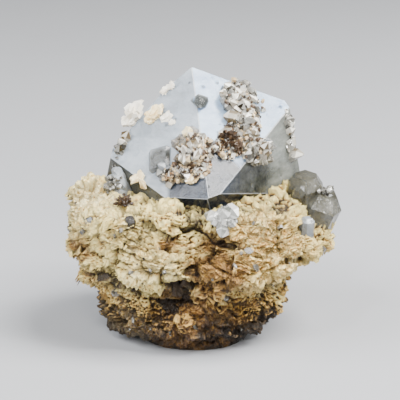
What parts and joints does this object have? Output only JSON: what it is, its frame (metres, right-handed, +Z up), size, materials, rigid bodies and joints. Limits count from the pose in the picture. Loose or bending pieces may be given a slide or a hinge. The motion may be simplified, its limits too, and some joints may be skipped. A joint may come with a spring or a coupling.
{
  "type": "quartz paramorph mineral specimen",
  "caption": "Squat two-ended quartz crystal with clusters of small clear crystals, half sunk in a craggy lump of mica and feldspar that it rests on.",
  "frame": {"origin": "middle of the bounding box at the height of the surface that the stone rests on", "axes": "+Z up, +X to the right as seen from the front, and the large crystal's end points to the front, -Y"},
  "size_m": [0.0486, 0.0399, 0.0463],
  "materials": {
    "clear_quartz": "glossy natural crystal faces, clear to milky blue-grey",
    "grey_quartz": "glassy broken grain, blue-grey",
    "dark_mica": "dark shiny mica grain",
    "rusty_mica": "iron-stained dark brown mica",
    "cream_feldspar": "satin cream to white feldspar",
    "mica_matrix": "rough flaky mica and feldspar, tan and cream with rust stains"
  },
  "bodies": {
    "root": {"main_crystal": "clear_quartz", "side_crystal": "clear_quartz", "front_crystals": "clear_quartz", "quartz_vein": "grey_quartz", "left_grain": "grey_quartz", "dark_grain": "dark_mica", "rust_tuft": "rusty_mica", "rust_clump": "rusty_mica", "feldspar_block": "cream_feldspar", "feldspar_plate": "cream_feldspar", "edge_flakes": "cream_feldspar", "left_flakes": "cream_feldspar", "centre_flakes": "cream_feldspar", "matrix": "mica_matrix"}
  },
  "joints": []
}
